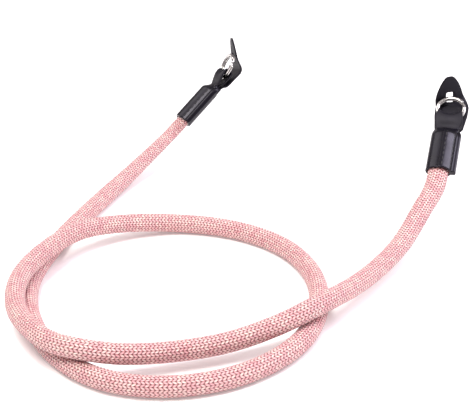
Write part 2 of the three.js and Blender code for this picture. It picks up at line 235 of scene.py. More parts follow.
on_table = np.array(ROUTE.split(), float).reshape(-1, 3) * MM
route = np.vstack((sleeve_line(ENDS[0]), on_table, sleeve_line(ENDS[1])[::-1]))
print(len(route), "points on the rope's route")

# %% [markdown]
# A curve through the points comes from the centripetal Catmull-Rom rule, the one that
# doesn't overshoot between uneven points. Each span is a blend of four neighbours.
# The curve is then cut into equal steps, and a short running average takes out the last
# unevenness of the listed points, as the rope's own stiffness does.

# %% Smooth path with equal steps
PATH_STEPS = 1360
STIFF_OVER = 5 * MM


def catmull_rom(points, per_span=40):
    """Centripetal Catmull-Rom: knots are spaced by the square root of each distance."""
    ends = np.vstack((2 * points[0] - points[1], points, 2 * points[-1] - points[-2]))
    knots = np.concatenate(((0,), np.cumsum(np.linalg.norm(np.diff(ends, axis=0), axis=1) ** 0.5)))
    spans = len(points) - 1
    share = np.arange(per_span) / per_span
    t0, t1, t2, t3 = (knots[i:i + spans, None] for i in range(4))
    p0, p1, p2, p3 = (ends[i:i + spans, None] for i in range(4))
    t = t1 + (t2 - t1) * share

    def between(a, b, ta, tb):
        return ((tb - t)[..., None] * a + (t - ta)[..., None] * b) / (tb - ta)[..., None]

    a1, a2, a3 = between(p0, p1, t0, t1), between(p1, p2, t1, t2), between(p2, p3, t2, t3)
    b1, b2 = between(a1, a2, t0, t2), between(a2, a3, t1, t3)
    return np.vstack((between(b1, b2, t1, t2).reshape(-1, 3), points[-1:]))


def line_length(points):
    """The distances between neighbours, added up."""
    return np.linalg.norm(np.diff(points, axis=0), axis=1).sum()


def equal_steps(points, count):
    """Points at even distances along the line, each found between its two neighbours."""
    travelled = np.concatenate(((0,), np.cumsum(np.linalg.norm(np.diff(points, axis=0), axis=1))))
    at = np.linspace(0, travelled[-1], count)
    return np.stack([np.interp(at, travelled, points[:, i]) for i in range(3)], -1)


def running_average(points, sigma_steps):
    """A bell-shaped running average, with the line run on straight past both ends."""
    reach = int(3 * sigma_steps)
    weights = np.exp(-0.5 * (np.arange(-reach, reach + 1) / sigma_steps) ** 2)
    weights /= weights.sum()
    run = np.arange(1, reach + 1)[:, None]
    before = points[0] - (points[1] - points[0]) * run[::-1]
    beyond = points[-1] + (points[-1] - points[-2]) * run
    padded = np.vstack((before, points, beyond))
    return np.stack([np.convolve(column, weights, "valid") for column in padded.T], -1)


path = equal_steps(catmull_rom(route), PATH_STEPS)
path = running_average(path, STIFF_OVER / (line_length(path) / PATH_STEPS))
path = equal_steps(path, PATH_STEPS)
rope_length = line_length(path)
print("rope length", round(rope_length, 3), "m, lowest middle", round(path[:, 2].min() / MM, 2), "mm")

# %% [markdown]
# ## The braid
#
# A round braid is made of carriers of yarn that run both ways round a core. On the
# surface each carrier shows as a row of slanted ovals along the rope, and neighbouring
# rows slant opposite ways, so the ovals meet in chevrons. The mesh carries the rows as
# low ridges. The ovals themselves are a bump and a colour in the material, because they
# are finer than a mesh of a sensible size. Two numbers tell the material where it is:
# how many rows round the rope, and how many ovals along it.

# %% Rope surface
ROWS_ROUND = 24
ROW_SAMPLES = 3
OVAL_PITCH = 1.75 * MM
RIDGE = 0.22 * MM


def unit(vectors):
    """Each vector over its own length."""
    return vectors / np.linalg.norm(vectors, axis=-1, keepdims=True)


def pressed(offset, end, share):
    """Squeezes the rope's section towards its width and height inside the sleeve."""
    across, deep = end["axes"][:, 0], end["axes"][:, 1]
    share = share[:, None, None]
    wide = (offset @ across)[..., None] * across * (PRESSED_WIDTH / ROPE_WIDTH - 1)
    thin = (offset @ deep)[..., None] * deep * (PRESSED_HEIGHT / ROPE_WIDTH - 1)
    return offset + share * (wide + thin)


def ease(x):
    """Rises from 0 to 1 with no corner at either end: three squares less two cubes."""
    x = np.clip(x, 0, 1)
    return x * x * (3 - 2 * x)


def rope_grid():
    """Circles of the rope's radius, less a dip between rows, square to the path.

    Both ends are pressed flat in their sleeves, and grow round again over the flat run.
    """
    columns = ROWS_ROUND * ROW_SAMPLES
    angle = 2 * np.pi * np.arange(columns) / columns
    along = unit(np.gradient(path, axis=0))
    side = unit(np.cross(along, (0, 0, 1)))
    up = np.cross(side, along)
    dip = RIDGE * (1 - np.abs(np.cos(angle * ROWS_ROUND / 2)))
    radius = ROPE_WIDTH / 2 - dip
    x, y = radius * np.cos(angle), radius * np.sin(angle)
    offset = side[:, None] * x[None, :, None] + up[:, None] * y[None, :, None]
    travel = np.linspace(0, rope_length, len(path))
    held = ROPE_IN_SLEEVE + ROPE_WIDTH
    for end, from_end in zip(ENDS, (travel, rope_length - travel)):
        offset = pressed(offset, end, 1 - ease((from_end - held) / FLAT_RUN))
    return path[:, None] + offset, travel


def add_weave_map(piece, rows, columns, travel):
    """Rows round and ovals along, kept at each face corner so that the seam stays whole."""
    mesh = piece.data
    corner_vertex = np.empty(len(mesh.loops), int)
    mesh.loops.foreach_get("vertex_index", corner_vertex)
    column = corner_vertex % columns
    row = np.minimum(corner_vertex // columns, rows - 1)
    first_corner = np.empty(len(mesh.polygons), int)
    mesh.polygons.foreach_get("loop_start", first_corner)
    corners = np.diff(np.append(first_corner, len(mesh.loops)))
    lead = np.repeat(column[first_corner], corners)
    column = np.where((lead == columns - 1) & (column == 0), columns, column)
    weave = np.stack((column / ROW_SAMPLES, travel[row] / OVAL_PITCH), -1)
    mesh.uv_layers.new(name="weave").data.foreach_set("uv", weave.ravel())


grid, travel = rope_grid()
rope = tube_mesh("braided_rope", grid)
add_weave_map(rope, *grid.shape[:2], travel)
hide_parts("rope")
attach(rope, "root")
report(rope)

# %% [markdown]
# ## The leather sleeves
#
# Each sleeve is one skin of leather wrapped round the rope's end. It laps over itself at
# the front, where a cut edge stands up along the sleeve, and it is sewn flat along one
# side, which leaves a narrow flange. At its top it flattens round the tab, and there the
# lapped edge and the flange fade away.
#
# In section that is an ellipse with a flat slab through one side. Measured from the
# rope's middle, the outline at each angle is the larger of the two, with a soft corner
# between them, and the lapped layer adds its thickness to the front quarter.

# %% Sleeve section
WRAP = np.array((PRESSED_WIDTH, PRESSED_HEIGHT)) / 2 + GAP + SKIN
BORE = WRAP - SKIN
FLANGE_HALF = 1.5 * MM
LAP_ANGLE = -90 * RAD
EDGE_WIDTH = 6
LAP_SPAN = 90
LAP_FADE = 8
EDGE_ROUND = 0.35 * MM
SLOT_FRONT = -(LAYER + LEATHER / 2 + GAP)
SLOT_BACK = TONGUE_BACK + LEATHER / 2 + GAP
TAIL_WIDTH = 11 * MM


def section_angles():
    """Angles round the sleeve, closer together at the flange and at the lapped edge.

    Each stretch is where it starts and stops, in degrees, and how many angles it has.
    """
    stretches = ((-16, 16, 26), (16, 262, 44), (262, 269, 3), (269, 277, 16), (277, 344, 17))
    return np.concatenate([np.linspace(a, b, n, endpoint=False) for a, b, n in stretches]) * RAD


def oval_radius(angle, half_x, half_y):
    """Distance from an ellipse's middle to its edge at an angle."""
    return 1 / np.hypot(np.cos(angle) / half_x, np.sin(angle) / half_y)


def sleeve_radius(angle, full):
    """Distance from the middle: the larger of ellipse and slab, by a high power mean.

    The lapped layer rises over a quarter of a sine wave, which rounds its cut edge, and
    eases out where its span of degrees ends. It and the flange count in full below the
    shoulder and fade to nothing at the top.
    """
    wrapped = oval_radius(angle, *WRAP)
    past_edge = np.degrees((angle - LAP_ANGLE) % (2 * np.pi))
    lapped = np.sin(np.clip(past_edge / EDGE_WIDTH, 0, 1) * np.pi / 2)
    lapped = lapped * ease((LAP_SPAN - past_edge) / LAP_FADE)
    wrapped = wrapped + PANEL * lapped * full
    slab_end = np.abs(np.cos(angle)) / np.where(np.cos(angle) > 0, WRAP[0] + FLANGE * full, EDGE_ROUND)
    slab_side = np.abs(np.sin(angle)) / FLANGE_HALF
    slab = (slab_end ** 8 + slab_side ** 8) ** (-1 / 8)
    return (wrapped ** 16 + slab ** 16) ** (1 / 16)


print("sleeve", np.round(2 * WRAP / MM, 1), "mm outside,", len(section_angles()), "points round it")

# %% [markdown]
# The sleeve's grid is a run of such outlines. It starts deep in the slot at the top,
# comes up over the rim, runs down the outside to the mouth, turns in over the mouth's
# rim, and goes back up the bore, so the wall has a real thickness wherever it shows.

# %% Sleeve surface
TOP_NARROWER = 0.1


def sleeve_outline(angle, depth, inset):
    """The outside at some depth below the top: pressed flatter over the shoulder.

    Over the shoulder the outline is scaled in depth, from its own to that of the slot with a
    layer of leather on each side, and its middle moves to the slot's.
    """
    rise = np.clip(1 - depth / SHOULDER, 0, 1)
    flat = ease(rise)
    radius = sleeve_radius(angle, math.sqrt(1 - rise ** 3)) - inset
    top_half = (SLOT_BACK - SLOT_FRONT) / 2 + LEATHER
    scale = 1 + (top_half / (WRAP[1] + PANEL / 2) - 1) * flat
    slot_middle = (SLOT_FRONT + SLOT_BACK) / 2
    x = (radius * np.cos(angle) + ROPE_OFFSET) * (1 - TOP_NARROWER * rise ** 3)
    y = (radius * np.sin(angle) + PANEL / 2) * scale - PANEL / 2 * (1 - flat) + slot_middle * flat
    return np.stack((x, y, np.full_like(x, -depth)), -1)


def ring_of(angle, half_x, half_y, middle, depth, power=2):
    """A flat ring of points: an ellipse, or a rounded box for a higher power."""
    c, s = np.cos(angle), np.sin(angle)
    radius = (np.abs(c / half_x) ** power + np.abs(s / half_y) ** power) ** (-1 / power)
    return np.stack((radius * c + middle[0], radius * s + middle[1], np.full_like(c, -depth)), -1)


def sleeve_grid():
    """Outlines from the slot's floor over the rim, down the outside and up the bore."""
    angle = section_angles()
    slot_middle = (0, (SLOT_FRONT + SLOT_BACK) / 2)
    slot_half = (TAIL_WIDTH / 2 + GAP, (SLOT_BACK - SLOT_FRONT) / 2)
    turn = np.linspace(0, np.pi / 2, 5)
    rows = [ring_of(angle, *slot_half, slot_middle, depth, 8) for depth in (TAIL_IN_SLEEVE + GAP, 0)]
    rim = EDGE_ROUND * (1 - np.sin(turn))
    fall = EDGE_ROUND * (1 - np.cos(turn))
    rows += [sleeve_outline(angle, d, i) for d, i in zip(fall, rim)]
    shoulder = np.linspace(EDGE_ROUND, SHOULDER, 14)[1:]
    straight = np.linspace(SHOULDER, SLEEVE_LENGTH - EDGE_ROUND, 24)[1:]
    rows += [sleeve_outline(angle, d, 0) for d in (*shoulder, *straight)]
    rows += [sleeve_outline(angle, SLEEVE_LENGTH - d, i) for d, i in zip(fall[::-1][1:], rim[::-1][1:])]
    at = (ROPE_OFFSET, 0)
    rows += [ring_of(angle, *(BORE + EDGE_ROUND / 2), at, SLEEVE_LENGTH)]
    inside = np.linspace(SLEEVE_LENGTH - EDGE_ROUND / 2, SLEEVE_LENGTH - ROPE_IN_SLEEVE - GAP, 6)
    rows += [ring_of(angle, *BORE, at, d) for d in inside]
    return np.array(rows)[:, ::-1]


print("sleeve surface", sleeve_grid().shape[:2], "rows and columns")

# %% [markdown]
# ## Tabs and shields
#
# Both are strips cut from 1.1 mm leather. A strip follows a line in the end's middle
# plane, and has its own width at each place. Its section is a box with soft corners, and it
# is carried along the line as one array, with no loop over its points.

# %% Strip of leather along a line
def bezier(p0, p1, p2, p3, count=24):
    """A cubic curve: four points blended by the weights of a cubed sum."""
    t = np.linspace(0, 1, count)[:, None]
    return (1 - t) ** 3 * p0 + 3 * (1 - t) ** 2 * t * p1 + 3 * (1 - t) * t ** 2 * p2 + t ** 3 * p3


def arc(middle, radius, start, stop, count=32):
    """Part of a circle in the plane that runs up the strap and from front to back."""
    a = np.linspace(start, stop, count)
    return np.stack((np.zeros(count), middle[1] + radius * np.cos(a), middle[2] + radius * np.sin(a)), -1)


def strip_section(width, columns=44):
    """Points of a soft-cornered box, more of them near its rounded edges.

    A cosine or sine raised to a power below one is pushed out towards its corner.
    """
    angle = 2 * np.pi * np.arange(columns) / columns
    c, s = np.cos(angle), np.sin(angle)
    half = LEATHER / 2
    across = np.sign(c) * np.abs(c) ** 0.35
    deep = np.sign(s) * np.abs(s) ** 0.5
    return across * (width[:, None] / 2 - half) + np.sign(c) * np.abs(c) ** 0.8 * half, deep * half


def strip_grid(line, width):
    """The section carried along the line: across is X, and out is square to the line."""
    along = unit(np.gradient(line, axis=0))
    out = np.stack((np.zeros(len(line)), along[:, 2], -along[:, 1]), -1)
    x, deep = strip_section(width)
    grid = line[:, None] + out[:, None] * deep[None, :, None]
    grid[..., 0] += x
    return grid


def point(y, z):
    """A point of an end's middle plane."""
    return np.array((0, y, z))


# %% [markdown]
# The tab is the strip that holds the ring. It comes out of the sleeve, spreads, narrows to
# pass through the ring, folds over the wire and goes back in behind itself. Near the
# wire its sides ride up with the curve of the ring, so they are lifted by the height of a
# circle at their distance from the middle.

# %% Tab
TAB_WIDTH = 13.8 * MM
FOLD_WIDTH = 10.2 * MM
STRAIGHT_NECK = 0.4 * MM
FOLD_TO = 0.1
WIDE_FROM = 0.32
LIFT_FROM = 0.35
LIFT_REACH = 0.8


def tab_grid(end):
    """Up the front, round the wire and down the back, lifted at the sides over the wire.

    Its width goes by the way from the fold to a tail: narrow up to one share of it, and
    full from another. The lift starts at a share of the way from neck to wire.
    """
    fold = FOLD_BORE + LEATHER / 2
    bulge = NECK_TO_WIRE / 2
    front = bezier(point(-LAYER, STRAIGHT_NECK), point(-LAYER, bulge), point(-fold, bulge),
                   point(-fold, NECK_TO_WIRE))
    round_wire = arc(point(0, NECK_TO_WIRE), fold, np.pi, 0)[1:-1]
    half = np.vstack((point(-LAYER, -TAIL_IN_SLEEVE), front))
    line = equal_steps(np.vstack((half, round_wire, half[::-1] * (1, -1, 1))), 170)
    share = np.linspace(-1, 1, len(line))
    tail = 2 * TAIL_IN_SLEEVE / line_length(line)
    width = np.interp(np.abs(share), (FOLD_TO, WIDE_FROM, 1 - 2 * tail, 1 - tail),
                      (FOLD_WIDTH, TAB_WIDTH, TAB_WIDTH, TAIL_WIDTH))
    grid = strip_grid(line, running_average(width[:, None], 4)[:, 0])
    reach = np.minimum(np.abs(grid[..., 0]), RING_RADIUS * LIFT_REACH)
    rise = RING_RADIUS - np.sqrt(RING_RADIUS ** 2 - reach ** 2)
    lift_from = NECK_TO_WIRE * LIFT_FROM
    rise = rise * ease((line[:, 2] - lift_from) / (NECK_TO_WIRE - lift_from))[:, None]
    drop = end["drop"] * RAD
    return grid + rise[..., None] * np.array((0, -math.sin(drop), math.cos(drop)))


print("tab", tab_grid(ENDS[1]).shape[:2], "rows and columns")

# %% [markdown]
# The shield is wider than the tab. It comes up behind the ring, bends to stand upright
# behind the hanging point, and ends in a rounded point. Its upper part is turned to its own
# facing, bit by bit over the bend, as leather gives.

# %% Shield
SHIELD_WIDTH = 17 * MM
SHIELD_RISE = 11 * MM
BEND_RADIUS = 4.5 * MM
TIP_WIDTH = 3 * MM
SPREAD_FROM = 1.4
SPREAD_TO = 0.42
TAPER_FROM = 0.52


def shield_line(end):
    """Straight, a slope out past the fold, straight, a bend of a circle's arc, straight."""
    bend = (90 - end["slope"]) * RAD
    upright = np.array((0, -math.sin(bend), math.cos(bend)))
    outward = np.array((0, math.cos(bend), math.sin(bend)))
    hang = ring_top(end) + outward * end["behind"] * MM + (0, 0, NECK_TO_WIRE)
    below = (SHIELD_BACK - hang[1]) / math.sin(bend)
    bend_at = hang[2] - below * math.cos(bend) - BEND_RADIUS * math.tan(bend / 2)
    middle = NECK_TO_WIRE / 3
    line = np.vstack((
        point(TONGUE_BACK, -TAIL_IN_SLEEVE),
        bezier(point(TONGUE_BACK, STRAIGHT_NECK), point(TONGUE_BACK, middle),
               point(SHIELD_BACK, middle), point(SHIELD_BACK, NECK_TO_WIRE - FOLD_BORE)),
        arc(point(SHIELD_BACK - BEND_RADIUS, bend_at), BEND_RADIUS, 0, bend),
        hang * (0, 1, 1) + upright * SHIELD_RISE,
    ))
    return equal_steps(line, 150), hang, below, bend_at, upright, outward


def shield_grid(end):
    """The strip along that line, with a rounded point, and its upper part turned.

    The point's width is one less a power of the way along it, raised to a smaller power.
    """
    line, hang, below, bend_at, upright, outward = shield_line(end)
    share = np.linspace(0, 1, len(line))
    tail = TAIL_IN_SLEEVE / line_length(line)
    sides = np.interp(share, (tail, tail * SPREAD_FROM, SPREAD_TO), (TAIL_WIDTH, TAB_WIDTH, SHIELD_WIDTH))
    sides = running_average(sides[:, None], 5)[:, 0]
    past = np.clip((share - TAPER_FROM) / (1 - TAPER_FROM), 0, 1)
    point_share = (1 - past ** 1.8) ** 0.7
    grid = strip_grid(line, TIP_WIDTH + (sides - TIP_WIDTH) * point_share)
    middle = hang * (0, 1, 1)
    above = (grid - middle) @ upright
    turned_share = ease((above + below + BEND_RADIUS) / (below + BEND_RADIUS * 4 / 3))
    turned_share = np.where(grid[..., 2] < bend_at, 0, turned_share)
    axis, angle = upper_turn(end, upright, outward).to_quaternion().to_axis_angle()
    aside = np.array((hang[0] + end["aside"] * MM, 0, 0))
    return turn_about(grid, middle, np.array(axis), angle * turned_share) + turned_share[..., None] * aside


def upper_turn(end, upright, outward):
    """How the shield's upper part faces and leans, as one turn."""
    facing = Matrix.Rotation(end["facing"] * RAD, 3, Vector(upright))
    return facing @ Matrix.Rotation(end["lean"] * RAD, 3, Vector(outward))


def turn_about(points, middle, axis, angle):
    """Rodrigues' rule: each point turns about one axis by its own angle."""
    arm = points - middle
    c, s = np.cos(angle)[..., None], np.sin(angle)[..., None]
    along = (arm @ axis)[..., None] * axis
    return middle + arm * c + np.cross(axis, arm) * s + along * (1 - c)


print("shield", shield_grid(ENDS[1]).shape[:2], "rows and columns")

# %% [markdown]
# The ring is reached from behind through a slot in the shield, at the hanging point. It is
# the only hole that the grids can't leave out themselves, so a plug of the slot's shape is
# taken away from the finished mesh and the result is kept as the mesh.

# %% Slot at the hanging point
SLOT_WIDTH = 4 * MM
SLOT_LENGTH = 5.5 * MM


def slot_plug(end):
    """A rounded box through the shield at the hanging point, as wide and long as the slot."""
    _, hang, _, _, upright, outward = shield_line(end)
    angle = np.linspace(0, 2 * np.pi, 40, endpoint=False)
    outline = ring_of(angle, SLOT_WIDTH / 2, SLOT_LENGTH / 2, (0, 0), 0, 6)
    depth = np.linspace(2, -2, 5)[:, None, None] * BEND_RADIUS
    grid = outline[None, :, :1] * (1, 0, 0) + outline[None, :, 1:2] * upright + depth * outward
    turn = np.array(upper_turn(end, upright, outward))
    return grid @ turn.T + hang + (end["aside"] * MM, 0, 0)


def take_away(piece, plug):
    """Subtracts one mesh from the other, keeps the outcome and removes the plug."""
    cut = piece.modifiers.new("slot", "BOOLEAN")
    cut.object, cut.operation, cut.solver = plug, "DIFFERENCE", "EXACT"
    whole = piece.evaluated_get(bpy.context.evaluated_depsgraph_get())
    mesh = bpy.data.meshes.new_from_object(whole)
    piece.modifiers.clear()
    spare = (piece.data, plug.data)
    piece.data = mesh
    bpy.data.objects.remove(plug)
    for old in spare:
        bpy.data.meshes.remove(old)


# %% [markdown]
# ## The split rings
#
# A split ring is a flattened spring wire wound round twice, with one short step where it
# crosses from the first turn to the second. A torus with a groove would miss the step and
# the wire's two cut ends, so the wire's section is carried along the winding itself.

# %% Ring
JOG = 32
JOG_PLACE = 38
PINCHED = 0.55
PINCHED_OVER = 2.5


def ring_grid(end, columns=16, rows=260):
    """Two turns of flattened wire, one on the other, with one step between them.

    The winding starts at JOG_PLACE, and the step takes JOG, both in degrees. The section is
    an oval with its cosine and sine raised to a power below one. It is pinched over the last
    degrees at the two ends.
    """
    travel = np.linspace(0, 720 - JOG, rows)
    step = ease((travel - (360 - JOG)) / JOG)
    angle = (JOG_PLACE + travel) * RAD
    radial = np.stack((np.cos(angle), np.zeros(rows), np.sin(angle)), -1)
    level = (step - 0.5) * (WIRE_HEIGHT + TURN_GAP)
    line = radial * RING_RADIUS + np.stack((np.zeros(rows), level, np.full(rows, RING_RADIUS)), -1)
    round_wire = 2 * np.pi * np.arange(columns) / columns
    wide = np.sign(np.cos(round_wire)) * np.abs(np.cos(round_wire)) ** 0.8 * WIRE_WIDTH / 2
    high = np.sign(np.sin(round_wire)) * np.abs(np.sin(round_wire)) ** 0.8 * WIRE_HEIGHT / 2
    grid = line[:, None] + radial[:, None] * wide[None, :, None]
    grid[..., 1] += high
    from_end = np.clip(np.minimum(travel, travel[::-1]) / PINCHED_OVER, 0, 1)
    size = PINCHED + (1 - PINCHED) * from_end ** 0.5
    grid = line[:, None] + (grid - line[:, None]) * size[:, None, None]
    return grid @ turned("X", end["drop"]).T


print("ring", round(2 * RING_RADIUS / MM, 1), "mm across, from wire middle to wire middle")

# %% [markdown]
# ## Stitches
#
# Waxed black thread, sewn by machine at about 3 mm to the stitch, runs down beside the
# lapped edge and again along the flange. Each stitch is a short, fat-ended bar that lies
# half sunk in the leather. The stitches of a sleeve are one mesh, made of one small grid
# that is repeated at each of their places.

# %% Stitches on a sleeve
STITCH_PITCH = 3 * MM
STITCH_LENGTH = 2.1 * MM
STITCH_THICK = 0.62 * MM
STITCH_SUNK = 0.08 * MM
STITCH_ANGLES = (-72, -26)


def stitch_points(columns=8, rows=9):
    """A bar with round ends along Z.

    Its thickness is the root of one less the sixth power of the way from its middle.
    """
    share = np.linspace(-1, 1, rows)
    thick = STITCH_THICK / 2 * np.clip(1 - share ** 6, 0.04, 1) ** 0.5
    angle = 2 * np.pi * np.arange(columns) / columns
    return np.stack((thick[:, None] * np.cos(angle), thick[:, None] * np.sin(angle),
                     np.repeat(share[:, None] * STITCH_LENGTH / 2, columns, 1)), -1)


def stitch_places():
    """Points on the sleeve's outside, one row of them for each of the two angles."""
    depth = np.arange(SHOULDER + STITCH_LENGTH / 2, SLEEVE_LENGTH - STITCH_LENGTH / 2, STITCH_PITCH)
    angles = np.array(STITCH_ANGLES)[:, None] * RAD
    return np.vstack([sleeve_outline(angle, d, STITCH_SUNK) for angle in angles for d in depth])


def stitch_mesh(end):
    bar = stitch_points()
    rows, columns = bar.shape[:2]
    places = stitch_places()
    faces, points = [], []
    for number, at in enumerate(places):
        first = number * (rows * columns + 2)
        points.append(np.vstack((bar.reshape(-1, 3), bar[0].mean(0), bar[-1].mean(0))) + at)
        ring = np.arange(columns) + first
        faces.append(grid_faces(rows, columns, first)[:, ::-1])
        faces.append(fan_faces(ring, first + rows * columns, False))
        faces.append(fan_faces(ring + rows * columns - columns, first + rows * columns + 1, True))
    return build_mesh(end["side"] + "_stitches", place(end, np.vstack(points)), faces)


print(len(stitch_places()), "stitches on a sleeve")

# %% [markdown]
# ## Both ends in one loop
#
# The two ends are the same parts, hung at different places and angles, so one loop makes
# them. Each grid is turned and shifted as a whole array and then meshed. The plain solid
# that each new piece stands for is hidden, and the piece moves with the root body.

# %% Make both ends
def add_piece(end, part, grid, slot, start="neck"):
    suffix = "leather" if slot == "black_leather" else "wire"
    piece = tube_mesh(f"{end['side']}_{part}_{suffix}", place(end, grid, start))
    if part == "shield":
        take_away(piece, tube_mesh("slot_plug", place(end, slot_plug(end))))
    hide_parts(f"{end['side']}_{part}")
    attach(piece, "root")
    report(piece)
    return piece


sleeves, strips, rings, stitches = [], [], [], []
for end in ENDS:
    sleeves.append(add_piece(end, "sleeve", sleeve_grid(), "black_leather"))
    strips.append(add_piece(end, "tab", tab_grid(end), "black_leather"))
    strips.append(add_piece(end, "shield", shield_grid(end), "black_leather"))
    rings.append(add_piece(end, "ring", ring_grid(end), "polished_steel", "wire"))
    sewn = stitch_mesh(end)
    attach(sewn, "root")
    stitches.append(sewn)
    report(sewn)

# %% [markdown]
# ## The table and the light
#
# The strap lies on a plain pale table, and the room light is dim and even. The key light is
# a soft box high in front. The other two are placed by mirroring the view in the right
# sleeve: one far to the left puts a dull highlight on its left side, and a cooler strip
# behind it on the right puts a long one beside the stitches. Nothing hangs straight
# overhead, so the leather between the two stays black.

# %% Table and lights
TABLE_AT = -49 * MM
TABLE_HALF = 3.0


def add_table():
    across = np.array((-1, 1, 1, -1)) * TABLE_HALF
    deep = np.array((-1, -1, 1, 1)) * TABLE_HALF
    corners = np.stack((across, deep, np.full(4, TABLE_AT)), -1)
    return build_mesh("table_top", corners, [np.array([[0, 1, 2, 3]])], smooth=False)


def add_softbox(name, position, aim, size, power, colour):
    data = bpy.data.lights.new(name, "AREA")
    data.color = colour
    data.shape = "RECTANGLE"
    data.size, data.size_y = size
    data.energy = power
    lamp = bpy.data.objects.new(name, data)
    bpy.context.collection.objects.link(lamp)
    turn = (Vector(aim) - Vector(position)).to_track_quat("-Z", "Y").to_matrix().to_4x4()
    lamp.matrix_world = Matrix.Translation(Vector(position)) @ turn


table_top = add_table()
middle = (-0.06, -0.12, -0.03)
add_softbox("key_softbox", (-0.05, -0.6, 1.2), middle, (0.6, 0.6), 16, (1, 0.98, 0.94))
add_softbox("left_softbox", (-0.8, -0.05, 0.95), middle, (0.6, 0.9), 4.5, (1, 0.98, 0.96))
add_softbox("right_strip", (0.55, 0.4, 0.7), middle, (0.24, 0.9), 9, (0.92, 0.89, 1))
world = bpy.data.worlds.new("studio")
bpy.context.scene.world = world
world.use_nodes = True
world.node_tree.nodes["Background"].inputs["Color"].default_value = (1, 0.9, 0.93, 1)
world.node_tree.nodes["Background"].inputs["Strength"].default_value = 0.4
bpy.context.scene.view_settings.view_transform = "Standard"
print("table at", round(TABLE_AT / MM), "mm, and three lights")

# %% [markdown]
# ## Node materials
#
# One helper adds a node with its settings and links. Colours are given as the hex values
# that a paint chart would, and one function turns them to the linear values that the
# shader works in.

# %% Helpers for materials
def linear(hex_colour):
    """sRGB hex to linear: the standard curve, a short straight part and a power of 2.4."""
    parts = np.array([int(hex_colour[i:i + 2], 16) for i in (1, 3, 5)]) / 255
    curve = np.where(parts <= 0.04045, parts / 12.92, ((parts + 0.055) / 1.055) ** 2.4)
    return (*curve.tolist(), 1.0)


def new_material(name):
    material = bpy.data.materials.new(name)
    material.use_nodes = True
    return material, material.node_tree, material.node_tree.nodes["Principled BSDF"]


def node(tree, kind, settings=None, **inputs):
    """Adds a node. Each input is a value or the output of another node.

    An input is named as in the editor, with _ for a space, or by its number, as in i0.
    """
    made = tree.nodes.new(kind)
    for key, value in (settings or {}).items():
        setattr(made, key, value)
    for key, value in inputs.items():
        name = int(key[1:]) if key[0] == "i" and key[1:].isdigit() else key.replace("_", " ")
        socket = made.inputs[name]
        if isinstance(value, bpy.types.NodeSocket):
            tree.links.new(value, socket)
        else:
            socket.default_value = value
    return made


def maths(tree, operation, *values):
    """One sum, product or other step on numbers or outputs."""
    inputs = {f"i{i}": value for i, value in enumerate(values)}
    return node(tree, "ShaderNodeMath", {"operation": operation}, **inputs).outputs[0]


def ramp(tree, factor, stops):
    """A colour ramp with (place, hex) stops."""
    made = node(tree, "ShaderNodeValToRGB", Fac=factor)
    while len(made.color_ramp.elements) < len(stops):
        made.color_ramp.elements.new(1)
    for element, (at, colour) in zip(made.color_ramp.elements, stops):
        element.position = at
        element.color = linear(colour)
    return made.outputs["Color"]


# %% [markdown]
# ### The yarn
#
# The yarn is a salmon pink with paler strands. It is a little glossy, so each oval glints,
# and light goes a short way into it, which keeps the shaded side pink. Each oval draws its
# tone by chance, and that is mixed with a drift a few millimetres long.
# The height of an oval is one formula: take the ovals along the rope, shift them forward or
# back with the place across the row, keep the fraction, and take one less the weighted
# squares of the distances from the oval's middle. A power below one then broadens its top.
# Rows with odd numbers shift the other way. The corners where four ovals meet come out low.
# The colour is multiplied by a ramp of the same height, which is painted shade: each oval
# darkens towards its edges, and the low corners are painted as small dark dots. The same
# height gives the bump.

# %% Yarn
OVAL_SLANT = 0.6
OVAL_FALL_ALONG = 0.92
OVAL_FALL_ACROSS = 0.65
OVAL_TOP = 0.6


